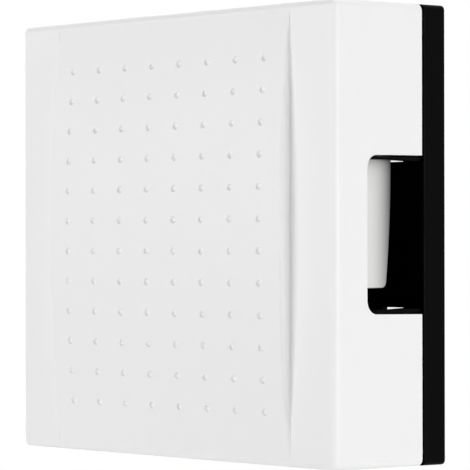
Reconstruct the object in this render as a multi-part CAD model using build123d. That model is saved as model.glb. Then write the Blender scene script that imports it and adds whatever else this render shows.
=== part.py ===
# Two-tone door chime: a square moulded box on a wall, with two steel tone plates and a sprung striker.
# Lengths are in millimetres. X runs to the right, Y toward the wall and Z up.
# The origin is the centre of the wall face, so everything in front of the wall has a negative Y.
from build123d import *
import math
import os

# Box
box_side = 140.0
box_depth = 49.3
band_depth = 9.9
shadow_gap = 0.9
draft_angle = 1.37
corner_radius = 2.2

# Cover shell
cover_wall = 2.0
cover_edge_radius = 2.0
cover_inner_radius = 0.8
stop_rib_width = 1.6
stop_rib_margin = 16.0
stop_rib_reach = 1.9
stop_rib_length = 9.0

# Arched panel in the front of the cover
panel_border = 17.95
panel_rise = 4.3
panel_crest_radius = 0.8
panel_foot_radius = 0.4
panel_end_margin = 0.3
panel_root = 1.2

# Dimples in the arched panel
dimple_columns = 8
dimple_rows = 12
dimple_pitch_x = 12.06
dimple_pitch_z = 9.63
dimple_diameter = 2.3
dimple_depth = 0.6

# Sound windows in the side walls
window_margin = 46.35
window_reach = 24.65
window_flare = 0.38
window_corner_radius = 4.2

# Base
floor_thickness = 2.4
base_flare = 0.25
base_corner_radius = 1.5
base_edge_radius = 0.5
lip_overlap = 6.0
lip_clearance = 0.36
lip_thickness = 1.6
lip_corner_radius = 1.5
cheek_thickness = 1.0
cheek_side_gap = 0.25
cheek_front_gap = 3.2
cheek_recess = 0.5
slot_margin = 23.0
slot_length = 8.5
slot_width = 0.8
slot_tip_width = 0.1
slot_gap = 0.17
slot_rise = 0.17
floor_rib_gap = 1.8
floor_rib_height = 3.0
floor_rib_thickness = 1.4
floor_rib_end_gap = 5.0
pip_radius = 0.6
pip_gap = 0.12
pip_length = 9.0
pip_spacing = 56.0
tongue_length = 13.0
tongue_slit = 1.2

# Wall screws and cable entry
wall_hole_margin = 10.0
wall_hole_radius = 2.25
wall_boss_radius = 5.4
wall_boss_height = 4.0
wall_head_radius = 4.4
wall_head_depth = 2.2
cable_gap = 2.0
cable_foot_margin = 26.0
cable_bore_radius = 3.5
grommet_neck_radius = 5.9
grommet_rim_radius = 7.5
grommet_rim_thickness = 1.1
grommet_web = 1.4

# Tone plates
plate_inset = 6.5
plate_thickness = 2.0
plate_width = 23.0
plate_depth_share = 0.6505
plate_top_gap = 10.0
plate_length_right = 76.1
plate_length_left = 92.0
plate_bulge = 2.4
plate_corner_radius = 2.0
plate_edge_radius = 0.3
plate_node_share = 0.224
plate_hole_spacing = 12.0
plate_hole_radius = 3.5
plate_side_gap = 1.7

# Rubber hangers of the tone plates
hanger_flange_radius = 4.7
hanger_flange_thickness = 1.1
hanger_sleeve_radius = 2.3
hanger_sleeve_wall = 0.7
hanger_sleeve_overhang = 0.1
hanger_washer_radius = 4.4
hanger_washer_thickness = 0.6
hanger_screw_length = 14.0
hanger_wall = 3.0
hanger_wall_margin = 8.0
hanger_boss_radius = 3.4
hanger_boss_length = 9.5
hanger_rib_thickness = 1.6
hanger_rib_reach = 12.0
hanger_rib_height = 22.0

# Screws
screw_radius = 1.5
screw_head_radius = 2.7
screw_head_height = 1.6
screw_tip_share = 0.5
screw_dome_share = 0.45
recess_length_share = 0.62
recess_width_share = 0.26
recess_depth_share = 0.55

# Solenoid
striker_offset = 1.2
coil_z = 16.0
bobbin_length = 44.0
bobbin_bore_radius = 5.6
bobbin_wall = 1.2
flange_radius = 12.5
flange_thickness = 1.8
winding_radius = 10.5
winding_gap = 0.15
tape_length = 26.0
tape_thickness = 0.3
tab_depth = 12.0
tab_drop = 5.0
tab_root = 4.0
pin_radius = 0.7
pin_spacing = 6.0
pin_sunk = 4.0
pin_reach = 4.0
yoke_thickness = 1.6
yoke_width = 22.0
yoke_bend_radius = 1.2
yoke_leg_margin = 4.0
yoke_lug_width = 12.0
yoke_lug_reach = 20.0
yoke_screw_reach = 16.0
yoke_boss_radius = 4.0
yoke_pad_width = 3.0
yoke_pad_x = 19.0
yoke_screw_share = 0.65

# Guide bushes
bush_radius = 5.5
bush_sunk = 3.0
bush_flange_radius = 7.6
bush_flange_thickness = 1.5

# Plunger and strikers
core_radius = 4.5
core_free_length = 14.0
core_chamfer = 0.6
rod_radius = 1.75
rod_sunk = 5.0
striker_radius = 2.8
striker_length = 7.0
striker_bore_depth = 5.0
striker_dome_share = 0.7
rest_gap_left = 3.0
rest_gap_right = 8.0
striker_collar_gap = 9.1

# Return spring and its collar
spring_wire_radius = 0.35
spring_coil_radius = 5.6
spring_seat_gap = 0.1
spring_pitch = 2.3
spring_end_pitch = 1.25
quarters = 4
points_per_turn = 48
collar_radius = 7.0
collar_thickness = 1.4
collar_round_share = 0.25
collar_hub_radius = 3.2
collar_hub_length = 1.6
clip_radius = 3.6
clip_thickness = 0.7
clip_mouth = 2.4

# Terminal block
terminal_margin = 25.0
terminal_height = 14.0
terminal_pitch = 11.0
terminal_poles = 3
terminal_deck = 7.0
terminal_wall = 1.2
terminal_wall_height = 4.2
terminal_ear = 6.0
terminal_ear_thickness = 3.2
terminal_pad = 3.0
clamp_width = 7.6
clamp_height = 9.0
clamp_thickness = 0.9
clamp_rise = 1.5
terminal_screw_length = 5.0
terminal_screw_head_radius = 2.9
terminal_screw_head_height = 1.6
ear_hole_skin = 0.8

# Lead wires
wire_radius = 0.7
sleeve_wall = 0.4
sleeve_overlap = 2.4
wire_arc_share = 0.45
wire_end_gap = 0.6
wire_front_fall_share = 0.38
wire_front_approach_share = 0.37
wire_rear_fall_share = 0.35
wire_rear_approach_share = 0.32

# Clearances and the overrun of cuts
slip_gap = 0.05
seat_gap = 0.1
overrun = 1.0
quarter_turn = 90

# Places worked out from the sizes
box_half = box_side / 2
rim_y = -(band_depth + shadow_gap)
front_y = -box_depth
cover_depth = box_depth - band_depth - shadow_gap
draft_slope = math.tan(math.radians(draft_angle))
base_draft_angle = math.degrees(math.atan(base_flare / band_depth))
front_half = box_half - cover_depth * draft_slope
panel_half_width = front_half - panel_border
panel_half_height = front_half - cover_edge_radius - panel_end_margin
panel_radius = (panel_half_height**2 + panel_rise**2) / (2 * panel_rise)
panel_centre_y = front_y - panel_rise + panel_radius
stop_rib_place = box_half - stop_rib_margin
slot_inner_x = box_half - slot_margin
wall_hole_z = box_half - wall_hole_margin
cable_z = cable_foot_margin - box_half
plate_top_z = box_half - plate_top_gap
terminal_z = terminal_margin - box_half
window_half = box_half - window_margin
window_front_y = rim_y - window_reach
floor_y = -floor_thickness
lip_front_y = rim_y - lip_overlap
cheek_inner_z = window_half - cheek_side_gap - cheek_thickness
plate_front_limit = front_y + cover_wall + plate_width / 2
plate_rear_limit = lip_front_y - screw_head_radius - plate_hole_spacing / 2
plate_middle_y = plate_front_limit + plate_depth_share * (plate_rear_limit - plate_front_limit)
plate_outer_x = box_half - plate_inset
plate_inner_x = plate_outer_x - plate_thickness
hanger_inner_x = plate_inner_x - slip_gap - hanger_flange_thickness
hanger_outer_x = plate_outer_x + slip_gap + hanger_flange_thickness
hanger_face_x = hanger_inner_x - hanger_sleeve_overhang
sleeve_outer_x = hanger_outer_x + hanger_sleeve_overhang
coil_y = plate_middle_y + striker_offset
bobbin_half = bobbin_length / 2
bobbin_radius = bobbin_bore_radius + bobbin_wall
yoke_inner_x = bobbin_half + slip_gap
yoke_outer_x = yoke_inner_x + yoke_thickness
yoke_front_y = coil_y - flange_radius
yoke_floor_y = coil_y + flange_radius + seat_gap
yoke_seat_y = yoke_floor_y + yoke_thickness
yoke_boss_height = floor_y - yoke_seat_y
yoke_screw_length = yoke_thickness + yoke_screw_share * yoke_boss_height
bush_face_x = yoke_outer_x + slip_gap + bush_flange_thickness
core_length = bobbin_length - core_free_length
core_left_x = -bobbin_half
core_right_x = core_left_x + core_length
striker_left_x = -(plate_inner_x - rest_gap_left)
striker_right_x = plate_inner_x - rest_gap_right
collar_x = striker_left_x + striker_length + striker_collar_gap
spring_length = -bush_face_x - collar_x
spring_travel = spring_length - 2 * (spring_wire_radius + spring_seat_gap)
spring_body_length = spring_travel - 2 * spring_end_pitch
spring_body_turns = round(spring_body_length / spring_pitch)
tab_low_z = coil_z - flange_radius - tab_drop
tab_x = bobbin_half - flange_thickness / 2
wire_top_z = tab_low_z - pin_reach
terminal_seat_y = floor_y - terminal_pad
terminal_deck_y = terminal_seat_y - terminal_deck
terminal_top_z = terminal_z + terminal_height / 2
wire_drop = wire_top_z - terminal_top_z
terminal_half = terminal_pitch * terminal_poles / 2
terminal_reach = terminal_half + terminal_ear
cable_x = -(terminal_reach + cable_gap + grommet_rim_radius)
floor_rib_x = grommet_rim_radius - cable_x + floor_rib_gap + floor_rib_thickness / 2
lip_half = box_half - cover_wall - lip_overlap * draft_slope - lip_clearance
tray_half = lip_half - lip_thickness


# Basic shapes
def block(x_limits, y_limits, z_limits):
    """A box between two limits along each axis."""
    limits = (x_limits, y_limits, z_limits)
    size = [high - low for low, high in limits]
    middle = [(low + high) / 2 for low, high in limits]
    return Pos(*middle) * Box(*size)


def span(middle, width):
    """The two limits of a width about a middle."""
    return (middle - width / 2, middle + width / 2)


def tube(outer_radius, inner_radius, length):
    """A ring that stands on the XY plane."""
    low = (Align.CENTER, Align.CENTER, Align.MIN)
    ring = Cylinder(outer_radius, length, align=low)
    if inner_radius > 0:
        ring -= Pos(0, 0, -overrun) * Cylinder(inner_radius, length + 2 * overrun, align=low)
    return ring


def disc(radius, length):
    """A solid round bar that stands on the XY plane."""
    return tube(radius, 0, length)


def along_x(x, y, z):
    """A place whose own Z points along +X."""
    return Pos(x, y, z) * Rot(0, quarter_turn, 0)


def toward_room(x, y, z):
    """A place whose own Z points out of the wall, along -Y."""
    return Pos(x, y, z) * Rot(quarter_turn, 0, 0)


def mirrored(shape):
    """The same shape on the other side of the box."""
    return mirror(shape, about=Plane.YZ)


def group(shapes):
    """Separate solids that share one node."""
    return Compound(children=[solid for shape in shapes for solid in shape.solids()])


def edges_at(shape, axis, last):
    """The edges of the first or last face along an axis."""
    face = shape.faces().sort_by(axis)[-1 if last else 0]
    return face.edges()


def pan_screw(radius, length, head_radius, head_height):
    """A pan-head screw with a cross recess; its head stands on the XY plane and its shank hangs below."""
    shank = Pos(0, 0, -length) * disc(radius, length)
    shank = chamfer(edges_at(shank, Axis.Z, False), radius * screw_tip_share)
    head = disc(head_radius, head_height)
    head = fillet(edges_at(head, Axis.Z, True), head_height * screw_dome_share)
    reach = 2 * head_radius * recess_length_share
    width = head_radius * recess_width_share
    depth = 2 * head_height * recess_depth_share
    cross = Box(reach, width, depth) + Box(width, reach, depth)
    return shank + head - Pos(0, 0, head_height) * cross


# Cover
def cover_inner_half(y):
    """Half the clear width inside the cover at a depth."""
    return box_half - cover_wall - (rim_y - y) * draft_slope


def drafted_box(rear_y, rear_half, depth, angle, long_radius):
    """A square box that narrows toward the front by a draft angle, with its long edges rounded."""
    rear_plane = Plane(origin=(0, rear_y, 0), x_dir=(1, 0, 0), z_dir=(0, -1, 0))
    body = extrude(rear_plane * Rectangle(2 * rear_half, 2 * rear_half), amount=depth, taper=angle)
    long_edges = [edge for edge in body.edges() if edge.bounding_box().size.Y > depth / 2]
    return fillet(long_edges, long_radius)


def arch_slab(radius, base_y, half_width, root):
    """A slab with an arched front; its ends stand where the arch meets the flat front."""
    rise = base_y - (panel_centre_y - radius)
    half_height = math.sqrt(2 * radius * rise - rise**2)
    arc = ThreePointArc((base_y, -half_height), (base_y - rise, 0), (base_y, half_height))
    rear_y = base_y + root
    top = Line((base_y, half_height), (rear_y, half_height))
    back = Line((rear_y, half_height), (rear_y, -half_height))
    bottom = Line((rear_y, -half_height), (base_y, -half_height))
    return extrude(Plane.YZ * make_face(arc + top + back + bottom), amount=half_width, both=True)


def panel_foot(side):
    """The small hollow where one flank of the panel meets the flat border."""
    radius = panel_foot_radius
    inner_x = panel_half_width
    outer_x = inner_x + radius
    height = (-panel_half_height, panel_half_height)
    strip = block((inner_x - radius, outer_x), (front_y - radius, front_y + panel_root), height)
    hollow = Pos(outer_x, front_y - radius, 0) * Cylinder(radius, box_side)
    foot = (strip - hollow) & arch_slab(panel_radius, front_y, outer_x + overrun, panel_root)
    return foot if side > 0 else mirrored(foot)


def cover_body():
    """The solid outer form of the cover."""
    body = drafted_box(rim_y, box_half, cover_depth, draft_angle, corner_radius)
    body = fillet(edges_at(body, Axis.Y, False), cover_edge_radius)
    panel = arch_slab(panel_radius, front_y, panel_half_width, panel_root)
    crests = panel.edges().filter_by(GeomType.CIRCLE)
    panel = fillet(crests, panel_crest_radius)
    return body + panel + panel_foot(1) + panel_foot(-1)


def cover_cavity():
    """The space inside the cover, one wall inside its outer form."""
    inner_depth = cover_depth - cover_wall
    inner_half = box_half - cover_wall
    cavity = drafted_box(rim_y, inner_half, inner_depth, draft_angle, cover_inner_radius)
    cavity += block((-tray_half, tray_half), (rim_y, rim_y + overrun), (-tray_half, tray_half))
    inner_y = front_y + cover_wall
    recess = arch_slab(panel_radius - cover_wall, inner_y, panel_half_width - cover_wall, panel_root)
    return cavity + recess


def dimples():
    """Balls that each cut one shallow dimple square to the arched panel."""
    half = dimple_diameter / 2
    ball_radius = (half**2 + dimple_depth**2) / (2 * dimple_depth)
    reach = panel_radius + ball_radius - dimple_depth
    balls = []
    for row in range(dimple_rows):
        surface_z = (row - (dimple_rows - 1) / 2) * dimple_pitch_z
        angle = math.asin(surface_z / panel_radius)
        y = panel_centre_y - reach * math.cos(angle)
        z = reach * math.sin(angle)
        ball = Rot(quarter_turn - math.degrees(angle), 0, 0) * Sphere(ball_radius)
        for column in range(dimple_columns):
            x = (column - (dimple_columns - 1) / 2) * dimple_pitch_x
            balls.append(Pos(x, y, z) * ball)
    return balls


def window_cut():
    """The notch through both side walls, open at the rim, where it is a little wider."""
    rear_y = rim_y + window_reach
    rear_half = window_half + 2 * window_flare
    reach = box_half + overrun
    outline = Polyline(
        (window_front_y, -window_half),
        (window_front_y, window_half),
        (rear_y, rear_half),
        (rear_y, -rear_half),
        close=True,
    )
    notch = extrude(Plane.YZ * make_face(outline), amount=reach, both=True)
    corners = [edge for edge in notch.edges().filter_by(Axis.X) if edge.center().Y < rim_y]
    notch = fillet(corners, window_corner_radius)
    middle_y = (window_front_y - overrun, rear_y + overrun)
    return notch - block((-tray_half, tray_half), middle_y, (-box_half, box_half))


def stop_ribs():
    """Short ribs inside the four walls that meet the front edge of the base's lip."""
    ribs = []
    rear_y = lip_front_y - seat_gap
    inner = cover_inner_half(rear_y)
    reach = (inner - stop_rib_reach, inner + cover_wall / 2)
    depth = (rear_y - stop_rib_length, rear_y)
    for place in (-stop_rib_place, stop_rib_place):
        width = span(place, stop_rib_width)
        upright = block(width, depth, reach)
        lying = block(reach, depth, width)
        ribs += [upright, mirror(upright, about=Plane.XY), lying, mirrored(lying)]
    return ribs


def make_cover():
    """The white shell with its arched, dimpled panel and its two side windows."""
    shell = cover_body() - cover_cavity() - window_cut()
    return shell + stop_ribs() - dimples()


# Base
def rounded_slab(half, radius, y_low, y_high):
    """A square slab with rounded corners between two depths."""
    slab = block((-half, half), (y_low, y_high), (-half, half))
    return fillet(slab.edges().filter_by(Axis.Y), radius)


def base_shell():
    """The tray with its band and the lip that enters the cover."""
    tray = drafted_box(0, box_half + base_flare, band_depth, base_draft_angle, base_corner_radius)
    tray = fillet(edges_at(tray, Axis.Y, True) + edges_at(tray, Axis.Y, False), base_edge_radius)
    tray += rounded_slab(lip_half, lip_corner_radius, lip_front_y, -band_depth)
    return tray - rounded_slab(tray_half, lip_corner_radius, lip_front_y - overrun, floor_y)


def lip_window():
    """The part of the lip that the sound windows leave out on both sides."""
    height = (-cheek_inner_z, cheek_inner_z)
    cut = block((tray_half - overrun, box_half), (lip_front_y - overrun, -band_depth), height)
    return cut + mirrored(cut)


def cheeks():
    """The four walls that line the top and bottom ends of the sound windows."""
    cheek_front_y = window_front_y + cheek_front_gap
    outer_x = box_half - (rim_y - cheek_front_y) * draft_slope - cheek_recess
    inner_x = plate_outer_x + plate_side_gap
    height = (cheek_inner_z, cheek_inner_z + cheek_thickness)
    cheek = block((inner_x, outer_x), (cheek_front_y, -band_depth), height)
    cheek += block((inner_x, tray_half + overrun), (-band_depth, floor_y), height)
    right = cheek + mirror(cheek, about=Plane.XY)
    return right + mirrored(right)


def mould_slots():
    """The four tapered slots through the floor behind the cheeks."""
    inner_z = cheek_inner_z + slot_gap
    tip_x = slot_inner_x + slot_length
    outline = Polyline(
        (slot_inner_x, inner_z),
        (tip_x, inner_z),
        (tip_x, inner_z + slot_tip_width),
        (slot_inner_x, inner_z + slot_width),
        close=True,
    )
    slot = extrude(Plane.XZ * make_face(outline), amount=box_depth, both=True)
    right = Pos(0, 0, slot_rise) * (slot + mirror(slot, about=Plane.XY))
    return right + mirrored(right)


def floor_ribs():
    """Two upright ribs that stiffen the floor."""
    reach = tray_half - floor_rib_end_gap
    depth = (floor_y - floor_rib_height, floor_y)
    rib = block(span(floor_rib_x, floor_rib_thickness), depth, (-reach, reach))
    return rib + mirrored(rib)


def snap_tongues(solid):
    """Frees four tongues in the top and bottom of the lip and gives each its pip."""
    pip_y = (rim_y + lip_front_y) / 2
    pip_z = cover_inner_half(pip_y) - pip_gap - pip_radius
    slit_depth = (lip_front_y - overrun, rim_y)
    slit_reach = (tray_half - overrun, lip_half + overrun)
    for place in (-pip_spacing / 2, pip_spacing / 2):
        pip = Pos(place, pip_y, pip_z) * Rot(0, quarter_turn, 0) * Cylinder(pip_radius, pip_length)
        slits = block(span(place - tongue_length / 2, tongue_slit), slit_depth, slit_reach)
        slits += block(span(place + tongue_length / 2, tongue_slit), slit_depth, slit_reach)
        solid = solid - slits - mirror(slits, about=Plane.XY)
        solid = solid + pip + mirror(pip, about=Plane.XY)
    return solid


def wall_boss(side):
    """One raised boss round a wall-screw hole, with room for the screw's head."""
    z = side * wall_hole_z
    boss = toward_room(0, floor_y, z) * disc(wall_boss_radius, wall_boss_height)
    hole = toward_room(0, overrun, z) * disc(wall_hole_radius, box_depth)
    head_y = floor_y - wall_boss_height + wall_head_depth
    head = toward_room(0, head_y, z) * disc(wall_head_radius, wall_head_depth + overrun)
    return boss, hole + head


def cable_hole():
    """The hole for the rubber cable grommet, with a recess for its rear rim."""
    hole = toward_room(cable_x, overrun, cable_z) * disc(grommet_neck_radius + slip_gap, box_depth)
    recess = disc(grommet_rim_radius + seat_gap, floor_thickness - grommet_web + overrun)
    return hole + toward_room(cable_x, overrun, cable_z) * recess


def hanger_holes(length):
    """The two hanging points of a tone plate of this length, as Y and Z."""
    z = plate_top_z - plate_node_share * length
    return [(plate_middle_y - plate_hole_spacing / 2, z), (plate_middle_y + plate_hole_spacing / 2, z)]


def hanger_post(length):
    """The wall, bosses and ribs that carry the right-hand tone plate."""
    holes = hanger_holes(length)
    z = holes[0][1]
    front_y = holes[0][0] - hanger_boss_radius - hanger_rib_thickness
    wall_x = (hanger_face_x - hanger_wall, hanger_face_x)
    post = block(wall_x, (front_y, floor_y), span(z, 2 * hanger_wall_margin))
    boss_x = hanger_face_x - hanger_boss_length
    for y, _ in holes:
        post += along_x(boss_x, y, z) * disc(hanger_boss_radius, hanger_boss_length)
    outline = Polyline(
        (wall_x[0], floor_y),
        (wall_x[0] - hanger_rib_reach, floor_y),
        (wall_x[0], floor_y - hanger_rib_height),
        close=True,
    )
    rib = extrude(make_face(outline), amount=hanger_rib_thickness / 2, both=True)
    for side in (-1, 1):
        post += Pos(0, 0, z + side * (hanger_wall_margin - hanger_rib_thickness / 2)) * rib
    pilot = disc(screw_radius + slip_gap, hanger_boss_length + 2 * overrun)
    for y, _ in holes:
        post -= along_x(boss_x - overrun, y, z) * pilot
    return post


def yoke_screw_places():
    return [coil_z - yoke_screw_reach, coil_z + yoke_screw_reach]


def yoke_supports():
    """Two screw bosses and two pads that hold the yoke off the floor."""
    supports = []
    for z in yoke_screw_places():
        boss = tube(yoke_boss_radius, screw_radius + slip_gap, yoke_boss_height)
        supports.append(toward_room(0, floor_y, z) * boss)
    pad = block(span(yoke_pad_x, yoke_pad_width), (yoke_seat_y, floor_y), span(coil_z, yoke_width / 2))
    return supports + [pad, mirrored(pad)]


def ear_places():
    """The X of the two screws at the ends of the terminal block."""
    reach = terminal_half + terminal_ear / 2
    return [-reach, reach]


def terminal_seat():
    """A low pad under the terminal block."""
    depth = (terminal_seat_y, floor_y)
    return block((-terminal_reach, terminal_reach), depth, span(terminal_z, terminal_height))


def ear_screw_holes():
    hole = disc(screw_radius + slip_gap, terminal_pad + floor_thickness)
    return [toward_room(x, -ear_hole_skin, terminal_z) * hole for x in ear_places()]


def make_base():
    """The black tray that hangs on the wall and carries everything inside."""
    base = base_shell() - lip_window() + cheeks() + floor_ribs() - mould_slots()
    base = snap_tongues(base)
    base += [hanger_post(plate_length_right), mirrored(hanger_post(plate_length_left))]
    base += yoke_supports()
    base += terminal_seat()
    for side in (-1, 1):
        boss, hole = wall_boss(side)
        base = base + boss - hole
    return base - cable_hole() - ear_screw_holes()


# Tone plates and their hangers
def make_tone_plate(length):
    """A right-hand tone plate with slightly barrelled long edges."""
    low = plate_top_z - length
    middle = plate_top_z - length / 2
    half = plate_width / 2
    end_half = half - plate_bulge
    y = plate_middle_y
    rear = ThreePointArc((y + end_half, low), (y + half, middle), (y + end_half, plate_top_z))
    front = ThreePointArc((y - end_half, plate_top_z), (y - half, middle), (y - end_half, low))
    top = Line((y + end_half, plate_top_z), (y - end_half, plate_top_z))
    bottom = Line((y - end_half, low), (y + end_half, low))
    outline = make_face(rear + top + front + bottom)
    outline = fillet(outline.vertices(), plate_corner_radius)
    plate = extrude(Plane.YZ.offset(plate_inner_x) * outline, amount=plate_thickness)
    plate = fillet(edges_at(plate, Axis.X, True) + edges_at(plate, Axis.X, False), plate_edge_radius)
    hole = disc(plate_hole_radius, plate_thickness + 2 * overrun)
    for hole_y, hole_z in hanger_holes(length):
        plate -= along_x(plate_inner_x - overrun, hole_y, hole_z) * hole
    return plate


def make_grommets(length):
    """Rubber rings with a groove that sits in the plate's hanging holes."""
    ring_length = hanger_outer_x - hanger_inner_x
    groove_length = plate_thickness + 2 * slip_gap
    bore = hanger_sleeve_radius + slip_gap
    rings = []
    for y, z in hanger_holes(length):
        ring = tube(hanger_flange_radius, bore, ring_length)
        groove = tube(hanger_flange_radius + overrun, plate_hole_radius - slip_gap, groove_length)
        ring -= Pos(0, 0, hanger_flange_thickness) * groove
        rings.append(along_x(hanger_inner_x, y, z) * ring)
    return rings


def make_sleeves(length):
    bore = hanger_sleeve_radius - hanger_sleeve_wall
    ring = tube(hanger_sleeve_radius, bore, sleeve_outer_x - hanger_face_x)
    return [along_x(hanger_face_x, y, z) * ring for y, z in hanger_holes(length)]


def make_washers(length):
    ring = tube(hanger_washer_radius, screw_radius + slip_gap, hanger_washer_thickness)
    return [along_x(sleeve_outer_x, y, z) * ring for y, z in hanger_holes(length)]


def make_hanger_screws(length):
    screw = pan_screw(screw_radius, hanger_screw_length, screw_head_radius, screw_head_height)
    head_x = sleeve_outer_x + hanger_washer_thickness
    return [along_x(head_x, y, z) * screw for y, z in hanger_holes(length)]


def both_plates(make):
    """The pieces of both tone plates' hangers."""
    right = make(plate_length_right)
    left = [mirrored(piece) for piece in make(plate_length_left)]
    return group(right + left)


# Solenoid
def make_bobbin():
    """The moulded former of the coil, with a tab for its two pins."""
    barrel = along_x(-bobbin_half, coil_y, coil_z) * disc(bobbin_radius, bobbin_length)
    for x in (-bobbin_half, bobbin_half - flange_thickness):
        barrel += along_x(x, coil_y, coil_z) * disc(flange_radius, flange_thickness)
    tab_x_limits = (bobbin_half - flange_thickness, bobbin_half)
    tab_top_z = tab_low_z + tab_drop + tab_root
    barrel += block(tab_x_limits, span(coil_y, tab_depth), (tab_low_z, tab_top_z))
    bore = disc(bobbin_bore_radius, bobbin_length + 2 * overrun)
    barrel -= along_x(-bobbin_half - overrun, coil_y, coil_z) * bore
    pin_hole = disc(pin_radius + slip_gap, pin_sunk + overrun + slip_gap)
    for y in pin_places():
        barrel -= Pos(tab_x, y, tab_low_z - overrun) * pin_hole
    return barrel


def pin_places():
    """The depths of the coil's two pins."""
    return [coil_y - pin_spacing / 2, coil_y + pin_spacing / 2]


def make_pins():
    pin = disc(pin_radius, pin_reach + pin_sunk)
    return group([Pos(tab_x, y, wire_top_z) * pin for y in pin_places()])


def make_winding():
    half = bobbin_half - flange_thickness - winding_gap
    inner = bobbin_radius + slip_gap
    return along_x(-half, coil_y, coil_z) * tube(winding_radius, inner, 2 * half)


def make_tape():
    inner = winding_radius + slip_gap
    return along_x(-tape_length / 2, coil_y, coil_z) * tube(inner + tape_thickness, inner, tape_length)


def make_yoke():
    """A bent steel strip with two legs, two lugs and a hole in each leg."""
    leg_front_y = yoke_front_y + yoke_leg_margin
    outer = block((-yoke_outer_x, yoke_outer_x), (leg_front_y, yoke_seat_y), span(coil_z, yoke_width))
    inner_y = (leg_front_y - overrun, yoke_floor_y)
    inner = block((-yoke_inner_x, yoke_inner_x), inner_y, span(coil_z, yoke_width + 2 * overrun))
    outer_bends = [edge for edge in outer.edges().filter_by(Axis.Z) if edge.center().Y > coil_y]
    outer = fillet(outer_bends, yoke_bend_radius)
    leg_tips = [edge for edge in outer.edges().filter_by(Axis.X) if edge.center().Y < coil_y]
    outer = fillet(leg_tips, yoke_leg_margin)
    yoke = outer - inner
    lug = block(span(0, yoke_lug_width), (yoke_floor_y, yoke_seat_y), span(coil_z, 2 * yoke_lug_reach))
    yoke += fillet(lug.edges().filter_by(Axis.Y), yoke_leg_margin)
    reach = yoke_outer_x + overrun
    yoke -= along_x(-reach, coil_y, coil_z) * disc(bush_radius + slip_gap, 2 * reach)
    screw_hole = disc(screw_radius + seat_gap, yoke_thickness + 2 * overrun)
    for z in yoke_screw_places():
        yoke -= toward_room(0, yoke_seat_y + overrun, z) * screw_hole
    return yoke


def make_yoke_screws():
    screw = pan_screw(screw_radius, yoke_screw_length, screw_head_radius, screw_head_height)
    return group([toward_room(0, yoke_floor_y, z) * screw for z in yoke_screw_places()])


def make_bush(bore_radius):
    """The right-hand guide bush: a spigot into the bobbin and a flange outside the yoke."""
    start_x = bobbin_half - bush_sunk
    spigot = along_x(start_x, coil_y, coil_z) * disc(bush_radius, bush_face_x - start_x)
    flange_x = bush_face_x - bush_flange_thickness
    spigot += along_x(flange_x, coil_y, coil_z) * disc(bush_flange_radius, bush_flange_thickness)
    return spigot - along_x(start_x - overrun, coil_y, coil_z) * disc(bore_radius, bobbin_length)


# Plunger
def make_core():
    """The steel plunger with a blind hole at each end for its rods."""
    core = disc(core_radius, core_length)
    core = chamfer(edges_at(core, Axis.Z, True) + edges_at(core, Axis.Z, False), core_chamfer)
    hole = disc(rod_radius + slip_gap, rod_sunk + overrun)
    core -= Pos(0, 0, -overrun) * hole
    core -= Pos(0, 0, core_length - rod_sunk) * hole
    return along_x(core_left_x, coil_y, coil_z) * core


def make_rod(low_x, high_x):
    return along_x(low_x, coil_y, coil_z) * disc(rod_radius, high_x - low_x)


def make_striker():
    """A domed nylon tip with a blind bore; its face is at its own top."""
    tip = disc(striker_radius, striker_length)
    tip = fillet(edges_at(tip, Axis.Z, True), striker_radius * striker_dome_share)
    return tip - Pos(0, 0, -overrun) * disc(rod_radius + slip_gap, striker_bore_depth + overrun)


def make_collar():
    """The collar that the return spring pushes on, with a hub away from the spring."""
    plate = Pos(0, 0, -collar_thickness) * disc(collar_radius, collar_thickness)
    rims = edges_at(plate, Axis.Z, True) + edges_at(plate, Axis.Z, False)
    plate = fillet(rims, collar_thickness * collar_round_share)
    hub = Pos(0, 0, -collar_thickness - collar_hub_length) * disc(collar_hub_radius, collar_hub_length)
    bore = Pos(0, 0, -box_depth / 2) * disc(rod_radius + slip_gap, box_depth)
    return along_x(collar_x, coil_y, coil_z) * (plate + hub - bore)


def make_clip():
    """The open clip that keeps the collar on its rod."""
    ring = tube(clip_radius, rod_radius + slip_gap, clip_thickness)
    mouth = block(span(0, clip_mouth), (-clip_radius - overrun, 0), (-overrun, clip_thickness + overrun))
    clip_x = collar_x - collar_thickness - collar_hub_length - slip_gap - clip_thickness
    return along_x(clip_x, coil_y, coil_z) * (ring - mouth)


# Return spring
def biarc(start, start_way, end, end_way):
    """Two arcs that join two points, each tangent to its own end's way."""
    chord = end - start
    ways = start_way + end_way
    spread = 2 * (1 - start_way.dot(end_way))
    along = chord.dot(ways)
    reach = (math.sqrt(along**2 + spread * chord.dot(chord)) - along) / spread
    near = start + start_way * reach
    far = end - end_way * reach
    joint = (near + far) / 2
    return [TangentArc(start, joint, tangent=start_way), TangentArc(joint, end, tangent=far - near)]


def spring_steps():
    """The advance along the axis in each quarter turn, closer in the turn at each end."""
    end_step = spring_end_pitch / quarters
    body_quarters = quarters * spring_body_turns
    body_step = spring_body_length / body_quarters
    return [end_step] * quarters + [body_step] * body_quarters + [end_step] * quarters


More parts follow.
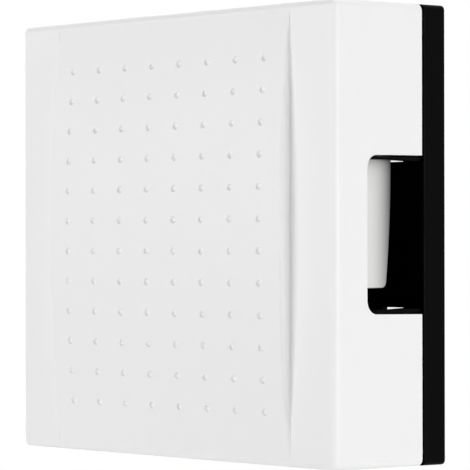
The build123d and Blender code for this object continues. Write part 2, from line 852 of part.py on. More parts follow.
def spring_path():
    """The centre line of the spring, from the collar's side to the bush's side."""
    steps = spring_steps()
    places = [collar_x + spring_wire_radius + spring_seat_gap]
    for step in steps:
        places.append(places[-1] + step)
    points = []
    ways = []
    for number, x in enumerate(places):
        angle = 2 * math.pi * number / quarters
        across = Vector(0, math.cos(angle), math.sin(angle))
        around = Vector(0, -math.sin(angle), math.cos(angle))
        before = steps[max(number - 1, 0)]
        after = steps[min(number, len(steps) - 1)]
        slope = (before + after) / (math.pi * spring_coil_radius)
        points.append(Vector(x, coil_y, coil_z) + across * spring_coil_radius)
        ways.append((around + Vector(slope, 0, 0)).normalized())
    wire_diameter = 2 * spring_wire_radius
    edges = [Line(points[0] - ways[0] * wire_diameter, points[0])]
    for number in range(len(steps)):
        edges += biarc(points[number], ways[number], points[number + 1], ways[number + 1])
    edges.append(Line(points[-1], points[-1] + ways[-1] * wire_diameter))
    return Wire(edges)


def least_self_gap(path, wire_diameter, loops):
    """The least clear gap between one turn and the next, measured on points."""
    count = points_per_turn * loops
    points = [path.position_at(number / count) for number in range(count + 1)]
    gaps = []
    for number, here in enumerate(points):
        near = number + points_per_turn // 2
        gaps += [(here - there).length for there in points[near : near + points_per_turn]]
    return min(gaps) - wire_diameter


def swept_tube(path, radius):
    """A round tube along a path, with its volume compared with section times length."""
    section = Plane(origin=path.position_at(0), z_dir=path.tangent_at(0)) * Circle(radius)
    solid = sweep(section, path=path)
    expected = math.pi * radius**2 * path.length
    print("tube volume", round(solid.volume, 2), "section times length", round(expected, 2))
    return solid


def make_spring():
    path = spring_path()
    gap = least_self_gap(path, 2 * spring_wire_radius, spring_body_turns + 2)
    print("spring least gap between turns", round(gap, 2))
    return swept_tube(path, spring_wire_radius)


# Terminal block
def pole_places():
    return [(number - (terminal_poles - 1) / 2) * terminal_pitch for number in range(terminal_poles)]


def make_terminal_block():
    """The moulded block with walls between its poles and a screwed ear at each end."""
    height = span(terminal_z, terminal_height)
    body = block((-terminal_half, terminal_half), (terminal_deck_y, terminal_seat_y), height)
    ear_y = (terminal_seat_y - terminal_ear_thickness, terminal_seat_y)
    ear_z = span(terminal_z, terminal_height - 2 * terminal_wall)
    ears = block((-terminal_reach, terminal_reach), ear_y, ear_z)
    body += fillet(ears.edges().filter_by(Axis.Y), terminal_wall)
    wall_y = (terminal_deck_y - terminal_wall_height, terminal_deck_y)
    for number in range(terminal_poles + 1):
        x = -terminal_half + number * terminal_pitch
        inset = terminal_wall / 2 if number == 0 else -terminal_wall / 2 if number == terminal_poles else 0
        body += block(span(x + inset, terminal_wall), wall_y, height)
    for x in pole_places():
        hole = disc(screw_radius + slip_gap, terminal_screw_length + overrun)
        body -= toward_room(x, terminal_deck_y + terminal_screw_length, terminal_z) * hole
    for x in ear_places():
        body -= toward_room(x, overrun, terminal_z) * disc(screw_radius + seat_gap, box_depth)
    return body


def make_clamps():
    """The brass plates that press the wires down on the deck."""
    plates = []
    low_y = terminal_deck_y - clamp_rise
    hole = disc(screw_radius + slip_gap, clamp_thickness + 2 * overrun)
    for x in pole_places():
        plate = block(span(x, clamp_width), (low_y - clamp_thickness, low_y), span(terminal_z, clamp_height))
        plate = fillet(plate.edges().filter_by(Axis.Y), clamp_thickness)
        plates.append(plate - toward_room(x, low_y + overrun, terminal_z) * hole)
    return group(plates)


def make_terminal_screws():
    length = terminal_screw_length + clamp_rise
    screw = pan_screw(screw_radius, length, terminal_screw_head_radius, terminal_screw_head_height)
    head_y = terminal_deck_y - clamp_rise - clamp_thickness
    return group([toward_room(x, head_y, terminal_z) * screw for x in pole_places()])


def make_ear_screws():
    length = terminal_ear_thickness + terminal_pad + floor_thickness - ear_hole_skin - seat_gap
    screw = pan_screw(screw_radius, length, screw_head_radius, screw_head_height)
    head_y = terminal_seat_y - terminal_ear_thickness
    return group([toward_room(x, head_y, terminal_z) * screw for x in ear_places()])


# Lead wires
def wire_radii(points):
    """The arc at each corner, as large as its two runs allow."""
    radii = []
    for before, here, after in zip(points, points[1:], points[2:]):
        turn = math.radians((here - before).get_angle(after - here))
        shorter = min((here - before).length, (after - here).length)
        radii.append(wire_arc_share * shorter / math.tan(turn / 2))
    return radii


def make_lead(pin_y, pole_x, fall_share, approach_share):
    """One insulated wire from a coil pin to a terminal."""
    wire_y = terminal_deck_y - wire_radius
    end_z = terminal_z + screw_radius + wire_end_gap
    points = [
        Vector(tab_x, pin_y, wire_top_z),
        Vector(tab_x, pin_y, wire_top_z - fall_share * wire_drop),
        Vector(pole_x, wire_y, terminal_top_z + approach_share * wire_drop),
        Vector(pole_x, wire_y, end_z),
    ]
    radii = wire_radii(points)
    print("lead wire radii", [round(radius, 1) for radius in radii])
    path = FilletPolyline(*points, radius=radii)
    return swept_tube(path, wire_radius)


def make_sleeves_on_pins():
    """Shrink sleeves over the joints between the pins and the wires."""
    length = 2 * sleeve_overlap
    ring = tube(wire_radius + slip_gap + sleeve_wall, wire_radius + slip_gap, length)
    return group([Pos(tab_x, y, wire_top_z - sleeve_overlap) * ring for y in pin_places()])


# Cable grommet
def make_cable_grommet():
    """The rubber ring in the floor that the bell wires come through."""
    recess_depth = floor_thickness - grommet_web
    rim = disc(grommet_rim_radius, recess_depth - seat_gap)
    neck = disc(grommet_neck_radius, floor_thickness + grommet_rim_thickness - seat_gap)
    front = Pos(0, 0, floor_thickness - seat_gap + slip_gap) * disc(grommet_rim_radius, grommet_rim_thickness)
    ring = rim + neck + front
    ring -= Pos(0, 0, -overrun) * disc(cable_bore_radius, box_depth)
    return toward_room(cable_x, -seat_gap, cable_z) * ring


def make_all():
    """Every node by its name."""
    deep_rod_x = core_left_x + rod_sunk - slip_gap
    striker = make_striker()
    left_tip_x = striker_left_x + striker_length - striker_bore_depth + slip_gap
    right_tip_x = striker_right_x - striker_length + striker_bore_depth - slip_gap
    front_wire = (pin_places()[0], pole_places()[2], wire_front_fall_share, wire_front_approach_share)
    rear_wire = (pin_places()[1], pole_places()[1], wire_rear_fall_share, wire_rear_approach_share)
    return {
        "cover": make_cover(),
        "base": make_base(),
        "tone_plate_right": make_tone_plate(plate_length_right),
        "tone_plate_left": mirrored(make_tone_plate(plate_length_left)),
        "plate_grommets": both_plates(make_grommets),
        "plate_sleeves": both_plates(make_sleeves),
        "plate_washers": both_plates(make_washers),
        "plate_screws": both_plates(make_hanger_screws),
        "coil_bobbin": make_bobbin(),
        "coil_winding": make_winding(),
        "coil_tape": make_tape(),
        "coil_pins": make_pins(),
        "yoke_frame": make_yoke(),
        "yoke_screws": make_yoke_screws(),
        "guide_bush_left": mirrored(make_bush(core_radius + slip_gap)),
        "guide_bush_right": make_bush(rod_radius + slip_gap),
        "plunger_core": make_core(),
        "striker_rod_left": make_rod(left_tip_x, deep_rod_x),
        "striker_rod_right": make_rod(core_right_x - rod_sunk + slip_gap, right_tip_x),
        "striker_tip_left": mirrored(along_x(-striker_left_x - striker_length, coil_y, coil_z) * striker),
        "striker_tip_right": along_x(striker_right_x - striker_length, coil_y, coil_z) * striker,
        "spring_collar": make_collar(),
        "collar_clip": make_clip(),
        "return_spring": make_spring(),
        "terminal_block": make_terminal_block(),
        "terminal_clamps": make_clamps(),
        "terminal_screws": make_terminal_screws(),
        "terminal_ear_screws": make_ear_screws(),
        "lead_wire_front": make_lead(*front_wire),
        "lead_wire_rear": make_lead(*rear_wire),
        "lead_sleeves": make_sleeves_on_pins(),
        "cable_grommet": make_cable_grommet(),
    }


os.makedirs("parts", exist_ok=True)
for name, shape in make_all().items():
    export_step(shape, f"parts/{name}.step")
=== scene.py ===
"""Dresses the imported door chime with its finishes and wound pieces, and sets the stage round it."""

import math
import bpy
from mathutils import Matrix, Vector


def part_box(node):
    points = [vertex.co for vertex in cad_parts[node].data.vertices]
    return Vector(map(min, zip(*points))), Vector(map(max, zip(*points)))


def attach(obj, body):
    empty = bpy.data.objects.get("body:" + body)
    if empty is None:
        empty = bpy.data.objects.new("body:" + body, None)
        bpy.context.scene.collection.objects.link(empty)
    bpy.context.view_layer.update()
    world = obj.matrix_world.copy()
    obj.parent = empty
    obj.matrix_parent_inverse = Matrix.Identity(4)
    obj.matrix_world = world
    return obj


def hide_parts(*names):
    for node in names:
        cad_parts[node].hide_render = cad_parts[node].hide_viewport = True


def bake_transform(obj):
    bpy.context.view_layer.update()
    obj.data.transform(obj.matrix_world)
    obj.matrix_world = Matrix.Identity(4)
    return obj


bl_info = {
    "name": "Door chime box",
    "version": (1, 0, 0),
    "blender": (4, 5, 0),
    "location": "View3D > Sidebar > Chime",
    "description": "Finishes, coil, spring and stage of a two-tone door chime",
    "category": "Object",
}

import bmesh
import bpy
from bpy.props import FloatProperty, FloatVectorProperty, IntProperty, PointerProperty
from mathutils import Matrix, Vector

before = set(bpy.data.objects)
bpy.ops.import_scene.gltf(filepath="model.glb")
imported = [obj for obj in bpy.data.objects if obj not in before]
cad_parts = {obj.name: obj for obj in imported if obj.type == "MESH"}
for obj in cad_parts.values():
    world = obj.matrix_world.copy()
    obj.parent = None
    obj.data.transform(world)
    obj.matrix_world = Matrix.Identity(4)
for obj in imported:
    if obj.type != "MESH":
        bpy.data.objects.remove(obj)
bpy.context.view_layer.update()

AXIS_X = Vector((1, 0, 0))
FULL_TURN = 2 * math.pi
MERGE_DISTANCE = 1e-6
END_TOLERANCE = 1e-5
WHITE = (1, 1, 1, 1)


# Settings
class FinishSettings(bpy.types.PropertyGroup):
    """Colours of the finishes that show most."""

    cover_color: FloatVectorProperty(
        name="Cover",
        description="Colour of the white moulded cover",
        subtype="COLOR",
        default=(0.88, 0.882, 0.88),
        min=0,
        max=1,
    )
    base_color: FloatVectorProperty(
        name="Base",
        description="Colour of the black moulded base",
        subtype="COLOR",
        default=(0.0006, 0.0006, 0.00065),
        min=0,
        max=1,
    )
    plate_color: FloatVectorProperty(
        name="Tone plates",
        description="Colour of the satin plated steel",
        subtype="COLOR",
        default=(0.75, 0.75, 0.74),
        min=0,
        max=1,
    )
    grain_size: FloatProperty(
        name="Mould grain",
        description="Size of the fine grain on moulded plastic",
        unit="LENGTH",
        default=0.0004,
        min=0.0001,
        precision=5,
    )


class CoilSettings(bpy.types.PropertyGroup):
    """Sizes of the coil's winding and its tape."""

    wire_pitch: FloatProperty(
        name="Wire pitch",
        description="Distance from one turn of the winding to the next",
        unit="LENGTH",
        default=0.00042,
        min=0.0002,
        precision=5,
    )
    lap_angle: FloatProperty(
        name="Tape lap",
        description="How far round the coil the tape lies over itself",
        subtype="ANGLE",
        default=math.radians(75),
        min=0,
    )
    tape_thickness: FloatProperty(
        name="Tape",
        description="Thickness of one layer of the tape",
        unit="LENGTH",
        default=0.00012,
        min=0.00002,
        precision=5,
    )


class SpringSettings(bpy.types.PropertyGroup):
    """Sizes of the return spring."""

    wire_diameter: FloatProperty(
        name="Wire",
        description="Diameter of the spring's wire",
        unit="LENGTH",
        default=0.0007,
        min=0.0002,
        precision=5,
    )
    end_pitch: FloatProperty(
        name="End pitch",
        description="Advance of the close turn at each end",
        unit="LENGTH",
        default=0.00125,
        min=0.0005,
        precision=5,
    )
    body_turns: IntProperty(
        name="Turns",
        description="Open turns between the two close ones",
        default=6,
        min=1,
    )


class StageSettings(bpy.types.PropertyGroup):
    """The camera and the light."""

    camera_place: FloatVectorProperty(
        name="Camera",
        description="Where the camera stands",
        unit="LENGTH",
        default=(0.540766, -0.581273, -0.003754),
        precision=5,
    )
    camera_turn: FloatProperty(
        name="Turn",
        description="Turn of the camera about the vertical",
        subtype="ANGLE",
        default=0.7666,
    )
    camera_tilt: FloatProperty(
        name="Tilt",
        description="Tilt of the camera above the horizon",
        subtype="ANGLE",
        default=0.0051,
    )
    camera_roll: FloatProperty(
        name="Roll",
        description="Turn of the camera about its own view",
        subtype="ANGLE",
        default=0.0012,
    )
    lens: FloatProperty(
        name="Lens",
        description="Focal length on a frame 36 mm wide",
        unit="CAMERA",
        default=186.618,
        min=1,
    )
    room_light: FloatProperty(
        name="Room light",
        description="Level of the even light from all round",
        default=0.09,
        min=0,
    )
    key_power: FloatProperty(
        name="Key lamp",
        description="Power of the soft lamp at the front left",
        unit="POWER",
        default=12.0,
        min=0,
    )
    front_power: FloatProperty(
        name="Front lamp",
        description="Power of the soft lamp in front",
        unit="POWER",
        default=15.3,
        min=0,
    )
    side_power: FloatProperty(
        name="Side lamp",
        description="Power of the soft lamp at the right",
        unit="POWER",
        default=9.4,
        min=0,
    )
    rear_power: FloatProperty(
        name="Rear lamp",
        description="Power of the soft lamp at the left, behind the chime",
        unit="POWER",
        default=6.0,
        min=0,
    )
    top_power: FloatProperty(
        name="Top lamp",
        description="Power of the soft lamp overhead",
        unit="POWER",
        default=10.0,
        min=0,
    )


class ChimeSettings(bpy.types.PropertyGroup):
    """All settings of the chime."""

    finish: PointerProperty(type=FinishSettings)
    coil: PointerProperty(type=CoilSettings)
    spring: PointerProperty(type=SpringSettings)
    stage: PointerProperty(type=StageSettings)


def settings():
    return bpy.context.scene.chime


# Shader nodes
def add_node(tree, kind, **values):
    """A node with some of its sockets set by name; an underscore stands for a space."""
    node = tree.nodes.new(kind)
    for name, value in values.items():
        node.inputs[name.replace("_", " ")].default_value = value
    return node


def add_math(tree, operation, first, second):
    """A math node whose two inputs are sockets or numbers."""
    node = tree.nodes.new("ShaderNodeMath")
    node.operation = operation
    for place, value in enumerate((first, second)):
        if isinstance(value, bpy.types.NodeSocket):
            tree.links.new(value, node.inputs[place])
        else:
            node.inputs[place].default_value = value
    return node.outputs[0]


def object_place(tree):
    """Where a point lies in the chime's own frame, in metres."""
    return tree.nodes.new("ShaderNodeTexCoord").outputs["Object"]


def spread_about(tree, mask, middle, spread):
    """A value that swings about a middle by a spread as a mask goes from 0 to 1."""
    swing = add_math(tree, "MULTIPLY", add_math(tree, "SUBTRACT", mask, 0.5), spread)
    return add_math(tree, "ADD", add_math(tree, "MULTIPLY", swing, 2.0), middle)


def shaded(tree, color, factor):
    """A colour made lighter or darker by a factor near 1."""
    node = tree.nodes.new("ShaderNodeVectorMath")
    node.operation = "SCALE"
    tree.links.new(color, node.inputs[0])
    tree.links.new(factor, node.inputs["Scale"])
    return node.outputs[0]


def noise(tree, vector, scale, detail):
    """A noise mask; its scale is a socket or a number of waves per metre."""
    node = add_node(tree, "ShaderNodeTexNoise", Detail=detail)
    tree.links.new(vector, node.inputs["Vector"])
    if isinstance(scale, bpy.types.NodeSocket):
        tree.links.new(scale, node.inputs["Scale"])
    else:
        node.inputs["Scale"].default_value = scale
    return node.outputs["Fac"]


def new_group(name, inputs, outputs):
    """An empty node group with its sockets, and its input and output nodes."""
    tree = bpy.data.node_groups.new(name, "ShaderNodeTree")
    for label, kind, value in inputs:
        socket = tree.interface.new_socket(label, in_out="INPUT", socket_type=kind)
        socket.default_value = value
    for label, kind in outputs:
        tree.interface.new_socket(label, in_out="OUTPUT", socket_type=kind)
    return tree, tree.nodes.new("NodeGroupInput"), tree.nodes.new("NodeGroupOutput")


def put_out(tree, result, **values):
    """Links each value to the group's output of that name."""
    for name, value in values.items():
        tree.links.new(value, result.inputs[name])


SURFACE_OUTPUTS = [
    ("Color", "NodeSocketColor"),
    ("Roughness", "NodeSocketFloat"),
    ("Height", "NodeSocketFloat"),
]

# Waves per metre and detail of the patterns
CLOUDS = (22.0, 3.0)
SMEARS = (70.0, 4.0)
MOULD_GRAIN_DETAIL = 2.0
METAL_GRAIN_DETAIL = 3.0
MOTTLE_DETAIL = 5.0


def moulded_skin():
    """Plastic as it leaves a mould: faint shading, a fine grain and uneven gloss."""
    tree, given, result = new_group(
        "moulded_skin",
        [
            ("Color", "NodeSocketColor", (0.8, 0.8, 0.8, 1)),
            ("Shade", "NodeSocketFloat", 0.01),
            ("Grain", "NodeSocketFloat", 2500.0),
            ("Roughness", "NodeSocketFloat", 0.4),
            ("Gloss Spread", "NodeSocketFloat", 0.04),
        ],
        SURFACE_OUTPUTS,
    )
    place = object_place(tree)
    clouds = noise(tree, place, *CLOUDS)
    smears = noise(tree, place, *SMEARS)
    tint = spread_about(tree, clouds, 1.0, given.outputs["Shade"])
    color = shaded(tree, given.outputs["Color"], tint)
    gloss = spread_about(tree, smears, given.outputs["Roughness"], given.outputs["Gloss Spread"])
    grain = noise(tree, place, given.outputs["Grain"], MOULD_GRAIN_DETAIL)
    put_out(tree, result, Color=color, Roughness=gloss, Height=grain)
    return tree


def worked_metal():
    """Metal with a drawn or rolled grain, stretched along one axis, and a faint mottling."""
    tree, given, result = new_group(
        "worked_metal",
        [
            ("Color", "NodeSocketColor", (0.7, 0.7, 0.7, 1)),
            ("Shade", "NodeSocketFloat", 0.03),
            ("Stretch", "NodeSocketVector", (1.0, 1.0, 1.0)),
            ("Grain", "NodeSocketFloat", 1500.0),
            ("Mottle", "NodeSocketFloat", 260.0),
            ("Roughness", "NodeSocketFloat", 0.35),
            ("Gloss Spread", "NodeSocketFloat", 0.06),
        ],
        SURFACE_OUTPUTS,
    )
    place = object_place(tree)
    mapping = tree.nodes.new("ShaderNodeMapping")
    tree.links.new(place, mapping.inputs["Vector"])
    tree.links.new(given.outputs["Stretch"], mapping.inputs["Scale"])
    mottle = noise(tree, place, given.outputs["Mottle"], MOTTLE_DETAIL)
    grain = noise(tree, mapping.outputs["Vector"], given.outputs["Grain"], METAL_GRAIN_DETAIL)
    both = add_math(tree, "MULTIPLY", add_math(tree, "ADD", mottle, grain), 0.5)
    tint = spread_about(tree, both, 1.0, given.outputs["Shade"])
    color = shaded(tree, given.outputs["Color"], tint)
    gloss = spread_about(tree, mottle, given.outputs["Roughness"], given.outputs["Gloss Spread"])
    put_out(tree, result, Color=color, Roughness=gloss, Height=grain)
    return tree


def rear_tarnish():
    """Painted shade: the colour darkened more and more from a start toward a rear edge along the Y
    axis, standing in for the shade there.
    """
    tree, given, result = new_group(
        "rear_tarnish",
        [
            ("Color", "NodeSocketColor", (0.7, 0.7, 0.7, 1)),
            ("Start", "NodeSocketFloat", -0.03),
            ("Rear", "NodeSocketFloat", -0.02),
            ("Depth", "NodeSocketFloat", 0.5),
        ],
        [("Color", "NodeSocketColor")],
    )
    place = object_place(tree)
    parts = tree.nodes.new("ShaderNodeSeparateXYZ")
    tree.links.new(place, parts.inputs[0])
    ramp = tree.nodes.new("ShaderNodeMapRange")
    tree.links.new(parts.outputs["Y"], ramp.inputs["Value"])
    tree.links.new(given.outputs["Start"], ramp.inputs["From Min"])
    tree.links.new(given.outputs["Rear"], ramp.inputs["From Max"])
    # Painted shade: the share of colour taken away grows toward the rear edge
    square = add_math(tree, "MULTIPLY", ramp.outputs[0], ramp.outputs[0])
    loss = add_math(tree, "MULTIPLY", square, given.outputs["Depth"])
    kept = add_math(tree, "SUBTRACT", 1.0, loss)
    put_out(tree, result, Color=shaded(tree, given.outputs["Color"], kept))
    return tree


def shared_group(make):
    """A node group that is built once and then found by its name."""
    return bpy.data.node_groups.get(make.__name__) or make()


def place_group(tree, make, values):
    """A shared node group placed in a material with its own values."""
    group = tree.nodes.new("ShaderNodeGroup")
    group.node_tree = shared_group(make)
    for label, value in values.items():
        group.inputs[label].default_value = value
    return group


# Materials
# Heights of the finest relief
MOULD_RELIEF = 0.00002
METAL_RELIEF = 0.00001


def surface_material(name, make_group, values, bump, bump_depth, **shader_values):
    """A material whose colour, roughness and bump come from a shared group."""
    material = bpy.data.materials.new(name)
    material.use_nodes = True
    tree = material.node_tree
    shader = tree.nodes["Principled BSDF"]
    group = place_group(tree, make_group, values)
    relief = add_node(tree, "ShaderNodeBump", Strength=bump, Distance=bump_depth)
    tree.links.new(group.outputs["Height"], relief.inputs["Height"])
    tree.links.new(relief.outputs["Normal"], shader.inputs["Normal"])
    tree.links.new(group.outputs["Color"], shader.inputs["Base Color"])
    tree.links.new(group.outputs["Roughness"], shader.inputs["Roughness"])
    for label, value in shader_values.items():
        shader.inputs[label.replace("_", " ")].default_value = value
    return material


def opaque(color):
    return (*color, 1.0)


def plastic(name, color, roughness, shade=0.015, grain_share=1.0, bump=0.25, **shader_values):
    """Moulded plastic; its grain is a share of the cover's."""
    values = {
        "Color": opaque(color),
        "Shade": shade,
        "Grain": 1 / (settings().finish.grain_size * grain_share),
        "Roughness": roughness,
    }
    return surface_material(name, moulded_skin, values, bump, MOULD_RELIEF, **shader_values)


def metal(name, color, roughness, stretch=(1, 1, 1), shade=0.04, bump=0.15, **shader_values):
    """Worked metal with its grain stretched by a vector."""
    values = {"Color": opaque(color), "Shade": shade, "Stretch": stretch, "Roughness": roughness}
    shader_values["Metallic"] = 1.0
    return surface_material(name, worked_metal, values, bump, METAL_RELIEF, **shader_values)


def cover_plastic():
    color = settings().finish.cover_color
    return plastic("cover_plastic", color, roughness=0.42, shade=0.006, bump=0.12)


def base_plastic():
    """Black plastic that throws back almost no light, as in the photograph."""
    color = settings().finish.base_color
    return plastic("base_plastic", color, roughness=0.28, shade=0.10, Specular_IOR_Level=0.024)


# Where along the Y axis the painted shade on a tone plate starts, where it is deepest at the rear
# edge, and how deep it gets
PLATE_PAINTED_SHADE = {"Start": -0.028, "Rear": -0.0172, "Depth": 0.85}


def plate_steel():
    """Satin steel, brushed from front to rear, with painted shade that darkens its colour toward the
    rear edge.
    """
    color = settings().finish.plate_color
    brushed = {"Anisotropic": 0.7, "Anisotropic_Rotation": 0.25}
    stretch = (1, 0.15, 1)
    material = metal("plate_steel", color, roughness=0.42, stretch=stretch, shade=0.05, **brushed)
    tree = material.node_tree
    skin = tree.nodes["Principled BSDF"].inputs["Base Color"]
    # Painted shade darkens the plate's colour toward its rear edge
    painted_shade = place_group(tree, rear_tarnish, PLATE_PAINTED_SHADE)
    tree.links.new(skin.links[0].from_socket, painted_shade.inputs["Color"])
    tree.links.new(painted_shade.outputs["Color"], skin)
    return material


def zinc_steel():
    return metal("zinc_steel", (0.66, 0.67, 0.70), roughness=0.26, shade=0.06)


def ground_steel():
    color = (0.50, 0.51, 0.53)
    return metal("plunger_steel", color, roughness=0.24, stretch=(0.1, 1, 1), shade=0.05)


def spring_steel():
    return metal("spring_steel", (0.60, 0.61, 0.64), roughness=0.22, shade=0.06)


def copper_wire():
    """Copper under a coat of clear enamel."""
    color = (0.62, 0.20, 0.06)
    return metal("copper_wire", color, roughness=0.30, stretch=(1, 0.2, 0.2), Coat_Weight=0.7)


def terminal_brass():
    return metal("terminal_brass", (0.78, 0.58, 0.26), roughness=0.30, shade=0.06)


def coil_tape():
    """Yellow film with a faint gloss."""
    gloss = {"roughness": 0.30, "Coat_Weight": 0.3}
    return plastic("coil_tape", (0.72, 0.55, 0.17), shade=0.08, grain_share=2.0, **gloss)


def natural_nylon():
    return plastic("natural_nylon", (0.80, 0.77, 0.70), roughness=0.42, shade=0.02)


def striker_nylon():
    return plastic("striker_nylon", (0.85, 0.85, 0.83), roughness=0.40, shade=0.02)


def block_plastic():
    return plastic("block_plastic", (0.60, 0.58, 0.52), roughness=0.45, shade=0.03)


def black_rubber():
    color = (0.025, 0.025, 0.025)
    return plastic("black_rubber", color, roughness=0.62, shade=0.12, grain_share=1.5, bump=0.4)


def red_vinyl():
    color = (0.50, 0.025, 0.025)
    return plastic("red_insulation", color, roughness=0.33, shade=0.05, bump=0.1)


def blue_vinyl():
    color = (0.025, 0.07, 0.38)
    return plastic("blue_insulation", color, roughness=0.33, shade=0.05, bump=0.1)


def dress(make, *nodes):
    """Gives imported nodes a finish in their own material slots."""
    material = make()
    for node in nodes:
        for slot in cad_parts[node].material_slots:
            slot.material = material


# Shapes
def round_room(node):
    """The centre, half the length and the outer radius of a round node on an axis along X."""
    low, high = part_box(node)
    return (low + high) / 2, (high.x - low.x) / 2, (high.z - low.z) / 2


def new_object(name, data):
    """A mesh, a lamp or a camera as an object of the scene."""
    thing = bpy.data.objects.new(name, data)
    bpy.context.scene.collection.objects.link(thing)
    return thing


def shown_shape(name, shape, material):
    """A finished shape as an object of the scene, with its place in its vertices."""
    mesh = bpy.data.meshes.new(name)
    shape.to_mesh(mesh)
    shape.free()
    mesh.materials.append(material)
    return new_object(name, mesh)


def finished_piece(name, shape, material, body):
    """A shape as a piece of the chime, which rides on a body if one is given."""
    piece = shown_shape(name, shape, material)
    if body:
        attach(piece, body)
    return piece


def smooth_by_angle(shape, angle):
    """Smooth faces, with edges left sharp where faces turn by more than an angle."""
    for face in shape.faces:
        face.smooth = True
    for edge in shape.edges:
        edge.smooth = edge.is_manifold and edge.calc_face_angle(math.pi) < angle


def turned(shape, chain, centre, angle, steps, advance=0.0):
    """Spins a chain of vertices and edges about an axis along X, and advances along it."""
    made = bmesh.ops.spin(
        shape,
        geom=chain,
        cent=centre,
        axis=AXIS_X,
        dvec=AXIS_X * (advance / steps),
        angle=angle,
        steps=steps,
        use_merge=False,
        use_duplicate=False,
    )
    return made["geom_last"]


def open_chain(shape, points):
    """Vertices joined in a row by edges."""
    verts = [shape.verts.new(point) for point in points]
    edges = [shape.edges.new(pair) for pair in zip(verts, verts[1:])]
    return verts + edges


def only(kind, items):
    """The items of one kind, such as the vertices of what an operator made."""
    return [item for item in items if isinstance(item, kind)]


def outward(point, centre):
    """The direction to a point from an axis along X."""
    return Vector((0, point.y - centre.y, point.z - centre.z)).normalized()


def open_edges(shape):
    return [edge for edge in shape.edges if edge.is_boundary]


def end_ring(shape, x):
    """The open edges that lie at one end of a turned shape."""
    return [
        edge
        for edge in open_edges(shape)
        if all(abs(vert.co.x - x) < END_TOLERANCE for vert in edge.verts)
    ]


def close_ends(shape):
    """Fills the open ends of a shape and turns its faces outward."""
    bmesh.ops.holes_fill(shape, edges=open_edges(shape))
    bmesh.ops.recalc_face_normals(shape, faces=shape.faces)


# Coil
TURN_ARC_POINTS = 5
WINDING_STEPS = 60
WINDING_CREASE = math.radians(60)
# The skin is wound past both ends of the winding's room, and what is too much is cut off
LEAD_TURNS = 1.5
SPARE_TURNS = 2
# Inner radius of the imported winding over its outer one
BORE_SHARE = 6.85 / 10.5
TAPE_STEPS = 96
TAPE_CREASE = math.radians(40)


def winding_shape(centre, half, outer, inner, pitch):
    """The outer turns as one helical skin, cut flat at both ends and closed to the bore."""
    shape = bmesh.new()
    radius = pitch / 2
    turns = math.ceil(2 * half / pitch) + SPARE_TURNS
    start = centre.x - half - pitch * LEAD_TURNS
    points = []
    for number in range(turns * TURN_ARC_POINTS + 1):
        turn, step = divmod(number, TURN_ARC_POINTS)
        swing = math.pi * step / TURN_ARC_POINTS
        x = start + turn * pitch + radius * (1 - math.cos(swing))
        points.append((x, centre.y, centre.z + outer - radius + radius * math.sin(swing)))
    chain = open_chain(shape, points)
    turned(shape, chain, centre, FULL_TURN, WINDING_STEPS, advance=pitch)
    bmesh.ops.remove_doubles(shape, verts=shape.verts, dist=MERGE_DISTANCE)
    for side in (-1, 1):
        bmesh.ops.bisect_plane(
            shape,
            geom=shape.verts[:] + shape.edges[:] + shape.faces[:],
            plane_co=centre + AXIS_X * (side * half),
            plane_no=AXIS_X * side,
            clear_outer=True,
        )
    for side in (-1, 1):
        ring = end_ring(shape, centre.x + side * half)
        grown = bmesh.ops.extrude_edge_only(shape, edges=ring)["geom"]
        for vert in only(bmesh.types.BMVert, grown):
            axis_point = Vector((vert.co.x, centre.y, centre.z))
            vert.co = axis_point + outward(vert.co, centre) * inner
    bmesh.ops.remove_doubles(shape, verts=shape.verts, dist=MERGE_DISTANCE)
    bmesh.ops.bridge_loops(shape, edges=open_edges(shape))
    bmesh.ops.recalc_face_normals(shape, faces=shape.faces)
    return shape


def tape_shape(centre, half, inner, thickness, lap):
    """A ribbon wound once round the coil and on over its own start by the lap angle."""
    shape = bmesh.new()
    low, high = centre.x - half, centre.x + half
    corners = ((low, inner), (high, inner), (high, inner + thickness), (low, inner + thickness))
    verts = [shape.verts.new((x, centre.y, centre.z + radius)) for x, radius in corners]
    start = shape.faces.new(verts)
    ribbon = verts + start.edges[:]
    steps = TAPE_STEPS + math.ceil(TAPE_STEPS * lap / FULL_TURN)
    # Each turn ends a hair above its own start, so the lapped layers stay apart
    growth = (thickness + MERGE_DISTANCE) / TAPE_STEPS
    for _ in range(steps):
        ribbon = turned(shape, ribbon, centre, FULL_TURN / TAPE_STEPS, 1)
        for vert in only(bmesh.types.BMVert, ribbon):
            vert.co += outward(vert.co, centre) * growth
    close_ends(shape)
    return shape


class CHIME_OT_wind_coil(bpy.types.Operator):
    """Winds the coil's outer layer of enamelled wire"""

    bl_idname = "chime.wind_coil"
    bl_label = "Wind the coil"

    def execute(self, context):
        centre, half, outer = round_room("coil_winding")
        inner = outer * BORE_SHARE
        shape = winding_shape(centre, half, outer, inner, settings().coil.wire_pitch)
        smooth_by_angle(shape, WINDING_CREASE)
        winding = finished_piece("coil_turns", shape, copper_wire(), "base")
        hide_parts("coil_winding")
        return {"FINISHED"}


class CHIME_OT_lap_tape(bpy.types.Operator):
    """Laps the yellow tape over the middle of the winding"""

    bl_idname = "chime.lap_tape"
    bl_label = "Lap the tape"

    def execute(self, context):
        sizes = settings().coil
        centre, half, outer = round_room("coil_tape")
        layers = 2 + sizes.lap_angle / FULL_TURN
        inner = outer - sizes.tape_thickness * layers
        shape = tape_shape(centre, half, inner, sizes.tape_thickness, sizes.lap_angle)
        smooth_by_angle(shape, TAPE_CREASE)
        tape = finished_piece("tape_lap", shape, coil_tape(), "base")
        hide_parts("coil_tape")
        return {"FINISHED"}


# Return spring
SPRING_STEPS = 40
SPRING_SIDES = 12
SPRING_CREASE = math.radians(50)


